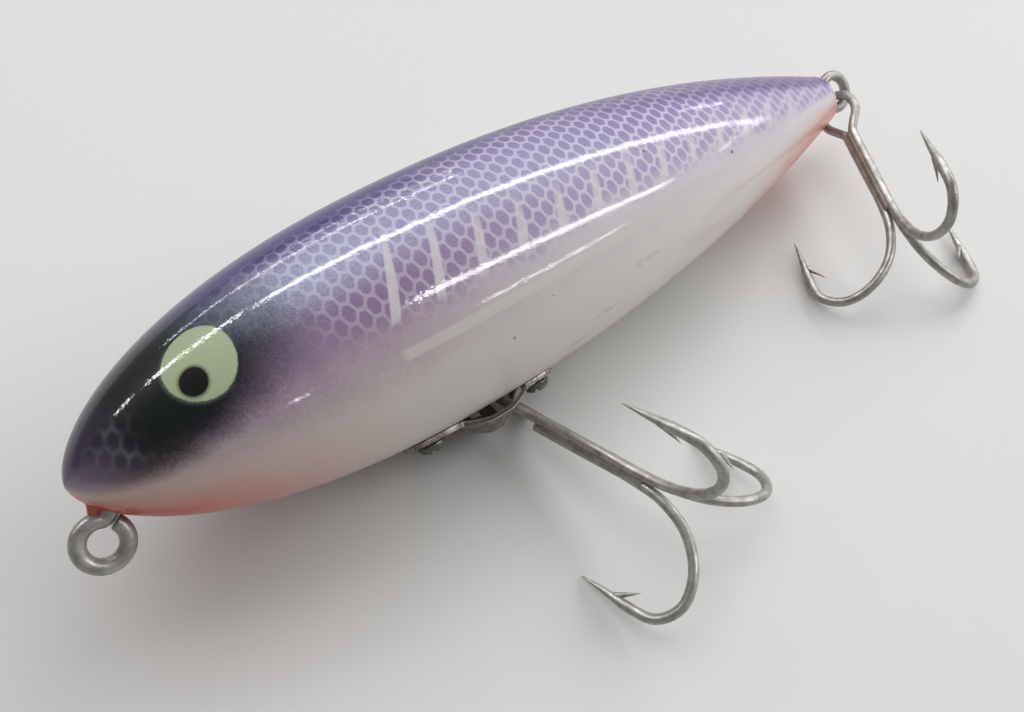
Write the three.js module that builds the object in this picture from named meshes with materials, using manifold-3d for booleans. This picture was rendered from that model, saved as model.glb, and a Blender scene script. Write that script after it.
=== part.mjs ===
// A turned wooden fishing lure, lying on its right side on a table, in millimetres, +Z up.
// Nose towards -X, tail towards +X. It leans on its body and on the prongs of its two treble hooks.

import * as THREE from 'three';
import { mergeVertices } from 'three/addons/utils/BufferGeometryUtils.js';
import Module from 'manifold-3d';

const wasm = await Module();
wasm.setup();

// Driving dimensions: body
const BODY_LENGTH = 108;
const BODY_RADIUS = 14;
const WIDEST_AT = 0.42;          // share of the length, from the nose
const NOSE_POWERS = [2.45, 0.6]; // roundness of the blunt nose
const TAIL_RADIUS = 3.25;
const TAIL_POWER = 2;
const CAMBER = 0.65;             // the back is a little more arched than the belly
const CAMBER_POWER = 1.5;
const TAIL_EDGE = 0.8;           // rounding of the flat tail end
const BODY_SIDES = 44;
const NOSE_STATIONS = 13;
const TAIL_STATIONS = 11;

// Driving dimensions: how the lure lies
const BODY_PITCH = 5.4;          // degrees, tail end lower
const BODY_ROLL = -44.5;         // degrees about its axis, left side up
const REST_FLAT_DEPTH = 0.35;    // small flat under the body, so that it can't roll

// Driving dimensions: screw eyes, given by the ring's mean radius and the wire
const NOSE_EYE = { wire: 1.75, ring: 2.33, x: 0.6, drop: 6.85, lean: 38, shank: 10, open: 16 };
const TAIL_EYE = { wire: 1.4, ring: 2.3, reach: 3.15, shank: 14, open: 14 };
const EYE_SIDES = 10;
const EYE_STEPS = 26;
const GAP = 0.25;                // clearance between pieces that touch
const BORE_SIDES = 12;

// Driving dimensions: belly hanger, pressed from sheet
const PLATE = { front: 31.6, rear: 52.4, halfWidth: 3.25, flangeHalfWidth: 2.7, thickness: 0.6, corner: 2 };
const BRIDGE = { front: 38.4, rear: 47.4, rimLift: 1.15, rimTop: 43.6, dishLift: 1.9, dishTop: 43 };
const PLATE_GRID = [26, 6];
const WINDOWS = [                // cut through the bridge: along from, to; right from, to
  [43.9, 47.9, -2.7, -0.6],
  [44.7, 47.9, 0.6, 4],
  [41.6, 43.1, 2.2, 4],
  [39.2, 40.6, 2.2, 4],
];
const SCREW = { at: [35, 50.1], slotAt: [70, 55], head: 3.3, height: 1.3, lip: 0.25 };
const SLOT = { width: 0.6, depth: 0.65 };
const SHANK = { diameter: 1.8, length: 6, taper: 0.3, sides: 10 };

// Driving dimensions: treble hooks
const HOOK_WIRE = 1.2;
const WIRE_OFFSET = 0.62;        // from the shank's axis to each of its three wires
const WIRE_SIDES = 6;
const PRONG_STEPS = 24;
const LOOP_STEPS = 26;
const LOOP_JOIN = 4.6;           // where the eye's two sides meet on the shank
const TWIST_OVER = 3.5;          // length over which an eye turns out of the shank's plane
const BRAZED_FROM = 3.6;         // where the third wire starts on the shank
const BEND = [                   // along the shank from the eye, and out from it
  [17.5, 0.62], [21.8, 1.15], [25.7, 2.95], [28.3, 6.2],
  [28.8, 9.7], [26.9, 12.5], [23.1, 13.1], [20.6, 12.95],
];
const POINT = { from: [21.2, 13.0], to: [17.3, 12.6], tip: 0.05 };
const BARB = { from: [19.2, 12.6], to: [21.6, 11.5], width: 0.7, sides: 5 };

// Driving dimensions: where each hook lies; at is a point on the lure (along, to the belly, to the right)
const BELLY_HOOK = { at: [46.35, 16.45, 0], heading: -76, rise: 13.8, turn: 120 };
const TAIL_HOOK = { at: [109.75, 2.6, -1.3], heading: -117.2, rise: 0.4, turn: 0 };
const BELLY_LOOP = { end: -2.4, half: 2.1, twist: 0 };
const TAIL_LOOP = { end: -3, half: 2.4, twist: 45 };

const deg = THREE.MathUtils.degToRad;

// Solids and booleans

function solid(geometry) {
  const plain = geometry.clone();
  plain.deleteAttribute('normal');
  plain.deleteAttribute('uv');
  const merged = mergeVertices(plain, 1e-4);
  const mesh = new wasm.Mesh({
    numProp: 3,
    vertProperties: new Float32Array(merged.attributes.position.array),
    triVerts: new Uint32Array(merged.index.array),
  });
  return new wasm.Manifold(mesh);
}

function geometryOf(manifold) {
  const mesh = manifold.getMesh();
  const geometry = new THREE.BufferGeometry();
  geometry.setAttribute('position', new THREE.BufferAttribute(new Float32Array(mesh.vertProperties), 3));
  geometry.setIndex(new THREE.BufferAttribute(new Uint32Array(mesh.triVerts), 1));
  geometry.computeVertexNormals();
  return geometry;
}

function join(geometries) {
  return geometryOf(geometries.map(solid).reduce((whole, next) => whole.add(next)));
}

function cut(geometry, tools) {
  return geometryOf(tools.map(solid).reduce((rest, tool) => rest.subtract(tool), solid(geometry)));
}

// Wire and rod

function roundShape(diameter, sides) {
  const shape = new THREE.Shape();
  for (let i = 0; i < sides; i += 1) {
    const angle = ((i + 0.5) / sides) * 2 * Math.PI;
    const x = (diameter / 2) * Math.cos(angle);
    const y = (diameter / 2) * Math.sin(angle);
    if (i === 0) shape.moveTo(x, y);
    else shape.lineTo(x, y);
  }
  return shape;
}

function wireAlong(points, diameter, steps, sides) {
  const path = new THREE.CatmullRomCurve3(points, false, 'centripetal');
  return new THREE.ExtrudeGeometry(roundShape(diameter, sides), { steps, extrudePath: path });
}

function rodBetween(start, end, startRadius, endRadius, sides) {
  const along = end.clone().sub(start);
  const middle = start.clone().add(end).multiplyScalar(0.5);
  const upright = new THREE.Vector3(0, 1, 0);
  const turn = new THREE.Quaternion().setFromUnitVectors(upright, along.clone().normalize());
  const rod = new THREE.CylinderGeometry(endRadius, startRadius, along.length(), sides);
  return rod.applyQuaternion(turn).translate(middle.x, middle.y, middle.z);
}

// Body: round in section, from two formulas that meet at the widest place

function bodyRadius(x) {
  const share = x / BODY_LENGTH;
  if (share < WIDEST_AT) {
    const [inner, outer] = NOSE_POWERS;
    return BODY_RADIUS * (1 - (1 - share / WIDEST_AT) ** inner) ** outer;
  }
  const toTail = (share - WIDEST_AT) / (1 - WIDEST_AT);
  return TAIL_RADIUS + (BODY_RADIUS - TAIL_RADIUS) * (1 - toTail ** TAIL_POWER);
}

// How far the body's centre line bows towards the back
function camber(x) {
  const share = THREE.MathUtils.clamp(x / BODY_LENGTH, 0, 1);
  return CAMBER * Math.sin(Math.PI * share ** CAMBER_POWER);
}

// The body's surface along the middle of its belly
function bellyLine(x) {
  return bodyRadius(x) - camber(x);
}

function bodyProfile() {
  const points = [new THREE.Vector2(0, 0)];
  const widest = WIDEST_AT * BODY_LENGTH;
  for (let i = 1; i <= NOSE_STATIONS; i += 1) {
    const x = widest * (i / NOSE_STATIONS) ** 2;
    points.push(new THREE.Vector2(bodyRadius(x), x));
  }
  const shoulder = BODY_LENGTH - TAIL_EDGE;
  for (let i = 1; i <= TAIL_STATIONS; i += 1) {
    const x = widest + (shoulder - widest) * (i / TAIL_STATIONS);
    points.push(new THREE.Vector2(bodyRadius(x), x));
  }
  const flat = bodyRadius(shoulder) - TAIL_EDGE;
  const halfway = TAIL_EDGE * Math.SQRT1_2;
  points.push(new THREE.Vector2(flat + halfway, shoulder + halfway));
  points.push(new THREE.Vector2(flat, BODY_LENGTH));
  points.push(new THREE.Vector2(0, BODY_LENGTH));
  return points;
}

// The lathe turns about Y; this lays its axis along X, and then bows it
function turnedBody() {
  const body = new THREE.LatheGeometry(bodyProfile(), BODY_SIDES).rotateZ(-Math.PI / 2);
  const place = body.attributes.position;
  for (let i = 0; i < place.count; i += 1) {
    place.setZ(i, place.getZ(i) + camber(place.getX(i)));
  }
  return body;
}

// How far the body's axis is above the table at the nose, so that the flat lies on the table
function noseHeight() {
  const slope = Math.sin(deg(BODY_PITCH));
  const upright = Math.cos(deg(BODY_PITCH));
  const step = 0.25;
  let lowest = 0;
  for (let x = 0; x <= BODY_LENGTH; x += step) {
    const bowed = camber(x) * Math.cos(deg(BODY_ROLL));
    lowest = Math.min(lowest, (bowed - bodyRadius(x)) * upright - slope * x);
  }
  return -lowest - REST_FLAT_DEPTH;
}

const lure = new THREE.Group();
lure.rotation.set(deg(BODY_ROLL), deg(BODY_PITCH), 0, 'YXZ');
lure.position.z = noseHeight();
lure.updateMatrix();

// A point on the lure, from its distance along the axis, towards the belly and to the right
function onLure(along, belly, right) {
  return new THREE.Vector3(along, right, -belly);
}

// All that would be below the table, seen from the lure
function tableBlock() {
  const depth = BODY_RADIUS;
  const block = new THREE.BoxGeometry(2 * BODY_LENGTH, BODY_LENGTH, depth);
  block.translate(BODY_LENGTH / 2, 0, -depth / 2);
  return block.applyMatrix4(lure.matrix.clone().invert());
}

// Screw eyes: an open ring of wire on a shank

function screwEye(size, centre, towardsShank) {
  const aside = new THREE.Vector3().crossVectors(towardsShank, new THREE.Vector3(0, 1, 0));
  const sweep = 2 * Math.PI - deg(size.open);
  const points = [];
  for (let i = 0; i <= EYE_STEPS; i += 1) {
    const angle = sweep * (i / EYE_STEPS);
    points.push(centre.clone()
      .addScaledVector(towardsShank, size.ring * Math.cos(angle))
      .addScaledVector(aside, size.ring * Math.sin(angle)));
  }
  const ring = wireAlong(points, size.wire, EYE_STEPS, EYE_SIDES);
  const neck = centre.clone().addScaledVector(towardsShank, size.ring - 0.2 * size.wire);
  const end = centre.clone().addScaledVector(towardsShank, size.ring + size.shank);
  return join([ring, rodBetween(neck, end, 0.46 * size.wire, 0.4 * size.wire, EYE_SIDES)]);
}

function eyeBore(size, centre, towardsShank) {
  const end = centre.clone().addScaledVector(towardsShank, size.shank + size.ring + size.wire + 4 * GAP);
  const radius = size.wire / 2 + GAP;
  return rodBetween(centre, end, radius, radius, BORE_SIDES);
}

const noseEyeCentre = onLure(NOSE_EYE.x, NOSE_EYE.drop, 0);
const noseEyeShank = new THREE.Vector3(Math.sin(deg(NOSE_EYE.lean)), 0, Math.cos(deg(NOSE_EYE.lean)));
const tailEyeCentre = onLure(BODY_LENGTH + TAIL_EYE.reach, 0, 0);
const tailEyeShank = new THREE.Vector3(-1, 0, 0);

// Belly hanger: a sheet that follows the body at its flanges and stands off it in a dished bridge

function bump(x, from, top, to) {
  if (x <= from || x >= to) return 0;
  const share = x < top ? (x - from) / (top - from) : (to - x) / (to - top);
  return Math.sin((share * Math.PI) / 2);
}

function plateLift(x, y) {
  const rim = BRIDGE.rimLift * Math.min(1, 1.1 * bump(x, BRIDGE.front, BRIDGE.rimTop, BRIDGE.rear));
  const dish = BRIDGE.dishLift * bump(x, BRIDGE.front, BRIDGE.dishTop, BRIDGE.rear);
  return rim + dish * (1 - (y / PLATE.halfWidth) ** 2);
}

function plateHalfWidth(x) {
  const fromEnd = Math.min(x - PLATE.front, PLATE.rear - x);
  const inCorner = Math.max(0, 1 - fromEnd / PLATE.corner);
  const cornered = Math.max(0.5, Math.sqrt(1 - inCorner ** 2));
  const inBridge = x > BRIDGE.front - 0.2 && x < BRIDGE.rear + 0.2;
  return (inBridge ? PLATE.halfWidth : PLATE.flangeHalfWidth) * cornered;
}

function hangerSheet() {
  const sheet = new THREE.BoxGeometry(PLATE.rear - PLATE.front, 2, 1, ...PLATE_GRID, 1);
  const place = sheet.attributes.position;
  for (let i = 0; i < place.count; i += 1) {
    const x = place.getX(i) + (PLATE.front + PLATE.rear) / 2;
    const y = place.getY(i) * plateHalfWidth(x);
    const seat = Math.sqrt((bodyRadius(x) + GAP) ** 2 - y ** 2) - camber(x);
    const outwards = (0.5 - place.getZ(i)) * PLATE.thickness;
    place.setXYZ(i, x, y, -(seat + plateLift(x, y) + outwards));
  }
  return sheet;
}

function hanger() {
  const windows = WINDOWS.map(([fromX, toX, fromY, toY]) => new THREE.BoxGeometry(
    toX - fromX, toY - fromY, BODY_RADIUS,
  ).translate((fromX + toX) / 2, (fromY + toY) / 2, -BODY_RADIUS));
  return cut(hangerSheet(), [...windows, ...screwBores(BODY_RADIUS, 2 * BODY_RADIUS)]);
}

// Hanger screws: domed head with a slot, on a shank that goes into the belly

function screwBores(inwards, outwards) {
  const radius = SHANK.diameter / 2 + GAP;
  return SCREW.at.map((x) => {
    const mouth = onLure(x, bellyLine(x) + outwards, 0);
    const bottom = onLure(x, bellyLine(x) - inwards, 0);
    return rodBetween(mouth, bottom, radius, radius, BORE_SIDES);
  });
}

function screwHead() {
  const radius = SCREW.head / 2;
  const dome = [new THREE.Vector2(0, 0), new THREE.Vector2(radius, 0), new THREE.Vector2(radius, SCREW.lip)];
  const rings = 5;
  for (let i = 1; i < rings; i += 1) {
    const angle = (i / rings) * (Math.PI / 2);
    const height = SCREW.lip + (SCREW.height - SCREW.lip) * Math.sin(angle);
    dome.push(new THREE.Vector2(radius * Math.cos(angle), height));
  }
  dome.push(new THREE.Vector2(0, SCREW.height));
  return new THREE.LatheGeometry(dome, 16);
}

function hangerScrew(x, slotAt) {
  const seat = bellyLine(x) + GAP + PLATE.thickness + GAP;
  const slot = new THREE.BoxGeometry(2 * SCREW.head, 2 * SLOT.depth, SLOT.width);
  const head = cut(screwHead(), [slot.translate(0, SCREW.height, 0).rotateY(deg(slotAt))]);
  head.rotateX(-Math.PI / 2).translate(x, 0, -seat);
  const top = onLure(x, seat + SCREW.lip / 2, 0);
  const tip = onLure(x, seat - SHANK.length, 0);
  const radius = SHANK.diameter / 2;
  return join([head, rodBetween(top, tip, radius, radius - SHANK.taper, SHANK.sides)]);
}

// Treble hook: shank along X from the eye, first prong up in the XZ plane, eye in the XY plane

function prong(from) {
  const at = ([along, out]) => new THREE.Vector3(along, 0, out);
  const middle = (from + BEND[0][0]) / 2;
  const route = [at([from, WIRE_OFFSET]), at([middle, WIRE_OFFSET]), ...BEND.map(at)];
  const wire = wireAlong(route, HOOK_WIRE, PRONG_STEPS, WIRE_SIDES);
  const point = rodBetween(at(POINT.from), at(POINT.to), HOOK_WIRE / 2, POINT.tip, WIRE_SIDES);
  const barb = rodBetween(at(BARB.from), at(BARB.to), BARB.width / 2, POINT.tip, BARB.sides);
  return [wire, point, barb];
}

// The eye: one side of it from the shank to the far end, then the same mirrored
function eyeLoop({ end, half, twist }) {
  const back = -WIRE_OFFSET / 2;
  const side = [
    [LOOP_JOIN + 1.5, 0.9 * WIRE_OFFSET],
    [LOOP_JOIN, WIRE_OFFSET],
    [LOOP_JOIN - 1.6, 0.57 * half],
    [LOOP_JOIN - 3.4, 0.93 * half],
    [end + 2.6, half],
    [end + 1, 0.81 * half],
    [end + 0.15, 0.4 * half],
  ];
  const at = (along, out) => {
    const turn = deg(twist) * THREE.MathUtils.clamp((LOOP_JOIN - along) / TWIST_OVER, 0, 1);
    return new THREE.Vector3(along, out * Math.cos(turn), back + out * Math.sin(turn));
  };
  const right = side.map(([along, out]) => at(along, out));
  const left = side.map(([along, out]) => at(along, -out)).reverse();
  return wireAlong([...right, at(end, 0), ...left], HOOK_WIRE, LOOP_STEPS, WIRE_SIDES);
}

function trebleHook(loop) {
  const pieces = [eyeLoop(loop)];
  for (let i = 0; i < 3; i += 1) {
    const start = i === 0 ? BRAZED_FROM : LOOP_JOIN + WIRE_OFFSET;
    pieces.push(...prong(start).map((piece) => piece.rotateX((i * 2 * Math.PI) / 3)));
  }
  return join(pieces);
}

// Materials and nodes

const paint = { color: 0xc9bcd6, roughness: 0.25, metalness: 0 };
const tin = { color: 0x8c8780, roughness: 0.4, metalness: 0.9 };

const whole = new THREE.Group();
whole.add(lure);

function node(name, geometry, look, parent) {
  const mesh = new THREE.Mesh(geometry, new THREE.MeshStandardMaterial(look));
  mesh.name = name;
  parent.add(mesh);
  return mesh;
}

function layHook(name, loop, place) {
  const hook = node(name, trebleHook(loop), tin, whole);
  hook.position.copy(onLure(...place.at).applyMatrix4(lure.matrix));
  hook.rotation.set(deg(place.turn), deg(-place.rise), deg(place.heading), 'ZYX');
}

const bores = [
  eyeBore(NOSE_EYE, noseEyeCentre, noseEyeShank),
  eyeBore(TAIL_EYE, tailEyeCentre, tailEyeShank),
  ...screwBores(SHANK.length, GAP),
];
node('body', cut(turnedBody(), [...bores, tableBlock()]), paint, lure);
node('nose_screw_eye', screwEye(NOSE_EYE, noseEyeCentre, noseEyeShank), tin, lure);
node('tail_screw_eye', screwEye(TAIL_EYE, tailEyeCentre, tailEyeShank), tin, lure);
node('hook_hanger', hanger(), tin, lure);
node('hanger_screw_front', hangerScrew(SCREW.at[0], SCREW.slotAt[0]), tin, lure);
node('hanger_screw_rear', hangerScrew(SCREW.at[1], SCREW.slotAt[1]), tin, lure);
layHook('belly_treble_hook', BELLY_LOOP, BELLY_HOOK);
layHook('tail_treble_hook', TAIL_LOOP, TAIL_HOOK);

// The origin is on the table, under the middle of the whole lure's box
whole.updateMatrixWorld(true);
const box = new THREE.Box3().setFromObject(whole, true);
whole.position.set(-(box.min.x + box.max.x) / 2, -(box.min.y + box.max.y) / 2, 0);

export default whole;
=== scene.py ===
# A turned and painted wooden fishing lure, lying on its right side with its two treble hooks.
# Shapes are worked out in millimetres, in the lure's own axes (x from nose to tail, y to the right, z to the
# back) or in a hook's own axes, and put into the frame in metres when their mesh is made.

import math

import bpy
import numpy as np
from mathutils import Matrix, Vector


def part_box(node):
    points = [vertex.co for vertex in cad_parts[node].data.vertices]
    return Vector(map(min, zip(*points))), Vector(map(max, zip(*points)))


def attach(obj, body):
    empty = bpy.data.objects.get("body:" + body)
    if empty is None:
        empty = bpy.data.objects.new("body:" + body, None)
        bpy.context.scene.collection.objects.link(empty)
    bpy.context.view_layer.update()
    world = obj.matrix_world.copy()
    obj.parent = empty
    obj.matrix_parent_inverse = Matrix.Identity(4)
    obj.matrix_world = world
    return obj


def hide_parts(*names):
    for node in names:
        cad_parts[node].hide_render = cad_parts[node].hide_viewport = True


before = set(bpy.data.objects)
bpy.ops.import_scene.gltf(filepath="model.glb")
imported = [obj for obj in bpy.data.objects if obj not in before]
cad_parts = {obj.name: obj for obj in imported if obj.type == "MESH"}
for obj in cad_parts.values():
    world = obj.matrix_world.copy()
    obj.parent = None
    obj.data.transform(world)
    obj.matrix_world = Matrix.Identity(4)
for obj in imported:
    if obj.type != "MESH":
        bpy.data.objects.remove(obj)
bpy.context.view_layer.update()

MM = 0.001
TO_METRES = Matrix.Diagonal((MM, MM, MM, 1))

# Body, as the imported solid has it
BODY_LENGTH = 108
BODY_RADIUS = 14
WIDEST_AT = 0.42
NOSE_POWERS = (2.45, 0.6)
TAIL_RADIUS = 3.25
TAIL_POWER = 2
CAMBER = 0.65
CAMBER_POWER = 1.5
TAIL_EDGE = 0.8
BODY_PITCH = 5.4
BODY_ROLL = -44.5
REST_FLAT_DEPTH = 0.35

# Paint that has run between the chin and the nose eye: each run's points (along, below and to the right) and
# its radius at both ends. The runs have the paint of one place on the body, which their mark names.
PAINT_RUNS = (
    (((1.7, 2.3, 0), (1.25, 3.0, 0), (0.85, 3.8, 0)), (0.75, 0.45)),
    (((1.1, 2.8, 0), (1.9, 3.45, 0), (3.0, 4.3, 0)), (0.5, 0.5)),
)
PAINT_RUN_MARK = (9, 156, 0)

# Screw eyes: thickness of the wire, radius of the ring at the wire's middle, its place, and degrees left open
NOSE_EYE = {"wire": 1.75, "ring": 2.33, "x": 0.5, "drop": 6.55, "lean": 38, "open": 16}
TAIL_EYE = {"wire": 1.4, "ring": 2.3, "reach": 3.15, "open": 14}
EYE_NECK = 1.1
EYE_DEPTH = 5

# Belly hanger and its screws, with the gap kept between pieces that touch in the real lure. A window has its
# ends along and its ends across; a screw has its place along and its slot's turn in degrees.
GAP = 0.25
PLATE = {"front": 31.6, "rear": 52.4, "half": 3.25, "flange_half": 2.7, "thickness": 0.6, "corner": 2}
BRIDGE = {"front": 38.4, "rear": 47.4, "rim_lift": 1.15, "rim_top": 43.6, "dish_lift": 1.9, "dish_top": 43}
WINDOWS = (
    (43.9, 47.9, -2.7, -0.6),
    (44.7, 47.9, 0.6, 3.25),
    (41.6, 43.1, 2.2, 3.25),
    (39.2, 40.6, 2.2, 3.25),
)
SCREWS = {"hanger_screw_front": (35, 70), "hanger_screw_rear": (50.1, 55)}
SCREW = {"head": 3.5, "height": 1.5, "lip": 0.3, "edge": 0.06, "shank": 1.8, "taper": 0.3, "depth": 5}
SLOT = {"width": 0.65, "depth": 0.75}
SHEET_EDGE = {"width": 0.1, "segments": 2, "angle": 50}
WIDTH_STEP = 0.2

# Treble hooks: the shank lies along x from the eye to the bend, and a wire's points are (along, out). A hook
# has its place on the lure (along, below, right), its turns in degrees, its eye's end, half width and turn,
# and the number of its single wire.
HOOK_WIRE = 1.2
WIRE_OFFSET = 0.62
LOOP_JOIN = 4.6
LOOP_TAIL = {"along": 1.5, "share": 0.9}
LOOP_FROM_JOIN = ((-1.6, 0.57), (-3.4, 0.93))
LOOP_FROM_END = ((2.6, 1), (1, 0.81), (0.15, 0.4))
TWIST_OVER = 3.5
BRAZED_FROM = 3.6
BRAZED_PAST = 1.5
BRAZE_RADIUS = 0.96
BEND = (
    (17.5, 0.62), (21.8, 1.15), (25.7, 2.95), (28.3, 6.2),
    (28.8, 9.7), (26.8, 12.3), (23.1, 12.75), (20.6, 12.65),
)
POINT = {"start": (23.4, 12.8), "tip": (17.3, 12.6), "tip_radius": 0.05, "fullness": 0.8}
BARB = {"start": (21.7, 12.5), "tip": (24.2, 10.75), "width": 0.86, "tip_radius": 0.03}
HOOKS = {
    "belly_treble_hook": {"at": (46.35, 16.45, 0), "heading": -76, "rise": 13.8, "turn": 120,
                          "end": -2.4, "half": 2.1, "loop_turn": 0, "third_wire": 0},
    "tail_treble_hook": {"at": (109.75, 2.6, -1.3), "heading": -117.2, "rise": 0.4, "turn": 0,
                         "end": -3, "half": 2.4, "loop_turn": 45, "third_wire": 2},
}

# Fineness of the meshes: steps along a form and sides round it, rounds of smoothing, and the sheet's spacing
# in millimetres along and in half widths across
CURVE_STEPS = 30
BODY_MESH = {"nose": 90, "tail": 110, "edge": 6, "sides": 240}
PAINT_RUN_MESH = {"steps": 20, "sides": 24}
SCREW_EYE_MESH = {"ring": 60, "steps": 220, "sides": 32, "smoothing": 6}
SHEET_MESH = {"along": 0.25, "across": 0.08}
SCREW_MESH = {"dome": 13, "sides": 72}
HOOK_MESH = {"prong": 230, "loop": 150, "braze": 60, "sides": 24, "smoothing": 4}
BARB_MESH = {"steps": 10, "sides": 12}

# Tubes: their ends are rounded over this share of their radius, and their sides start from a direction in
# which no wire sets out
WIRE_ROUNDING = 0.18
PAINT_RUN_ROUNDING = 0.7
SIDES_FROM = (0.3, 0.2, 0.9)

# The photograph's camera, from the nose, and its focal length in pixels of the photograph
IMAGE_WIDTH = 1024
FOCAL_PIXELS = 949.55
CAMERA_FROM_NOSE = (10.89, -56.37, 82.82)
CAMERA_TILT = 32.86
CAMERA_HEADING = -36.97
SENSOR_WIDTH = 36
NEAREST_SEEN = 0.005

# Rows of ceiling tubes, in metres, where the highlights in the photograph put them; only gloss shows them
TUBE = {"height": 1.0, "width": 0.085, "radiance": 31}
TUBES = {
    "row_end": ((-1.25, 1.07), (-0.92, 0.98)),
    "row_start": ((-0.75, 0.93), (-0.12, 0.79)),
    "row_main": ((-0.06, 0.77), (2.6, -0.03)),
    "row_main_end": ((2.7, -0.06), (4.6, -0.75)),
    "row_right": ((0.36, -0.58), (2.25, -1.24)),
    "row_back": ((-0.75, 2.62), (1.2, 2.0)),
    "row_far": ((0.6, 4.4), (2.0, 3.7)),
    "row_near": ((1.0, -1.9), (2.6, -2.5)),
    "row_side": ((-0.36, -1.73), (-0.22, -1.8)),
    "across_tail": ((3.32, -1.21), (3.63, -0.58)),
    "over_tail": ((2.73, 1.32), (3.3, 1.2)),
}

# Soft lights, in metres and watts, which the gloss coat doesn't show
SOFT_LIGHTS = {
    "window": {"at": (2.2, 0.0, 1.0), "width": 3.2, "height": 1.2, "power": 72},
    "ceiling": {"at": (0.35, 0.65, 1.15), "width": 1.5, "height": 1.1, "power": 7.5},
    "fill": {"at": (0, 0.2, 1.6), "width": 4, "height": 3, "power": 7},
}
WORLD_TONE = (1, 0.97, 0.94, 1)
WORLD_STRENGTH = 0.2
FLOOR_HALF = 3.0


# Form of the body

def body_radius(x):
    share = np.clip(np.asarray(x, float) / BODY_LENGTH, 0, 1)
    inner, outer = NOSE_POWERS
    nose = BODY_RADIUS * (1 - np.clip(1 - share / WIDEST_AT, 0, 1) ** inner) ** outer
    to_tail = np.clip((share - WIDEST_AT) / (1 - WIDEST_AT), 0, 1)
    tail = TAIL_RADIUS + (BODY_RADIUS - TAIL_RADIUS) * (1 - to_tail ** TAIL_POWER)
    return np.where(share < WIDEST_AT, nose, tail)


def camber(x):
    share = np.clip(np.asarray(x, float) / BODY_LENGTH, 0, 1)
    return CAMBER * np.sin(math.pi * share ** CAMBER_POWER)


def belly_line(x):
    return float(body_radius(x) - camber(x))


def nose_height():
    """Height of the nose over the table, which the body's lowest line and its rest flat give."""
    step = 0.25
    x = np.arange(0, BODY_LENGTH + step, step)
    bowed = camber(x) * math.cos(math.radians(BODY_ROLL))
    pitch = math.radians(BODY_PITCH)
    lowest = np.min((bowed - body_radius(x)) * math.cos(pitch) - math.sin(pitch) * x)
    return -float(lowest) - REST_FLAT_DEPTH


def lure_place():
    """The lure's own axes in the frame, in millimetres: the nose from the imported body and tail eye."""
    nose_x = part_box("body")[0].x / MM
    tail_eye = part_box("tail_screw_eye")
    middle_y = (tail_eye[0].y + tail_eye[1].y) / 2 / MM
    nose = Matrix.Translation((nose_x, middle_y, nose_height()))
    pitch = Matrix.Rotation(math.radians(BODY_PITCH), 4, "Y")
    roll = Matrix.Rotation(math.radians(BODY_ROLL), 4, "X")
    return nose @ pitch @ roll


LURE = lure_place()


def on_lure(along, belly, right):
    return Vector((along, right, -belly))


# Mesh building: a form is places in millimetres, faces, and marks that the finish reads

class Form:
    def __init__(self):
        self.places, self.faces, self.marks, self.looks = [], [], [], []

    def add(self, places, faces, marks=None, look=0):
        start = len(self.places)
        self.places.extend([tuple(p) for p in places])
        self.faces.extend([[start + i for i in face] for face in faces])
        self.marks.extend(marks if marks is not None else [(0, 0, 0)] * len(places))
        self.looks.extend([look] * len(faces))

    def mesh(self, name, place):
        matrix = TO_METRES @ place
        mesh = bpy.data.meshes.new(name)
        mesh.from_pydata([matrix @ Vector(p) for p in self.places], [], self.faces)
        attribute = mesh.attributes.new("mark", "FLOAT_VECTOR", "POINT")
        attribute.data.foreach_set("vector", np.array(self.marks, np.float32).ravel())
        mesh.polygons.foreach_set("material_index", self.looks)
        mesh.update()
        return mesh


def ring_faces(rows, sides):
    """Faces between rings of points, closed at both ends by the two points that follow the rings."""
    faces = []
    for i in range(rows - 1):
        for j in range(sides):
            k = (j + 1) % sides
            faces.append((i * sides + j, i * sides + k, (i + 1) * sides + k, (i + 1) * sides + j))
    last, closing = (rows - 1) * sides, rows * sides
    for j in range(sides):
        k = (j + 1) % sides
        faces.append((closing, k, j))
        faces.append((closing + 1, last + j, last + k))
    return faces


def new_object(name, data):
    made = bpy.data.objects.new(name, data)
    bpy.context.scene.collection.objects.link(made)
    return made


def piece(name, node, form, place, materials):
    mesh = form.mesh(name, place)
    for material in materials:
        mesh.materials.append(material)
    made = new_object(name, mesh)
    mesh.shade_smooth()
    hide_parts(node)
    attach(made, "root")
    return made


def through(points, steps, smoothing=0):
    """A centripetal curve through the points, in even steps."""
    p = np.array([tuple(q) for q in points], float)
    p = np.vstack([2 * p[0] - p[1], p, 2 * p[-1] - p[-2]])
    fine = []
    for i in range(1, len(p) - 2):
        quad = p[i - 1:i + 3]
        t = np.concatenate([[0], np.cumsum(np.linalg.norm(np.diff(quad, axis=0), axis=1) ** 0.5)])
        for s in np.linspace(t[1], t[2], CURVE_STEPS, endpoint=False):
            a = [quad[k] + (quad[k + 1] - quad[k]) * (s - t[k]) / (t[k + 1] - t[k]) for k in range(3)]
            b = [a[k] + (a[k + 1] - a[k]) * (s - t[k]) / (t[k + 2] - t[k]) for k in range(2)]
            fine.append(b[0] + (b[1] - b[0]) * (s - t[1]) / (t[2] - t[1]))
    fine.append(p[-2])
    fine = np.array(fine)
    length = np.concatenate([[0], np.cumsum(np.linalg.norm(np.diff(fine, axis=0), axis=1))])
    even = np.linspace(0, length[-1], steps + 1)
    line = np.stack([np.interp(even, length, fine[:, k]) for k in range(3)], axis=1)
    for _ in range(smoothing):
        line[1:-1] = (line[:-2] + 2 * line[1:-1] + line[2:]) / 4
    return line


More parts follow.
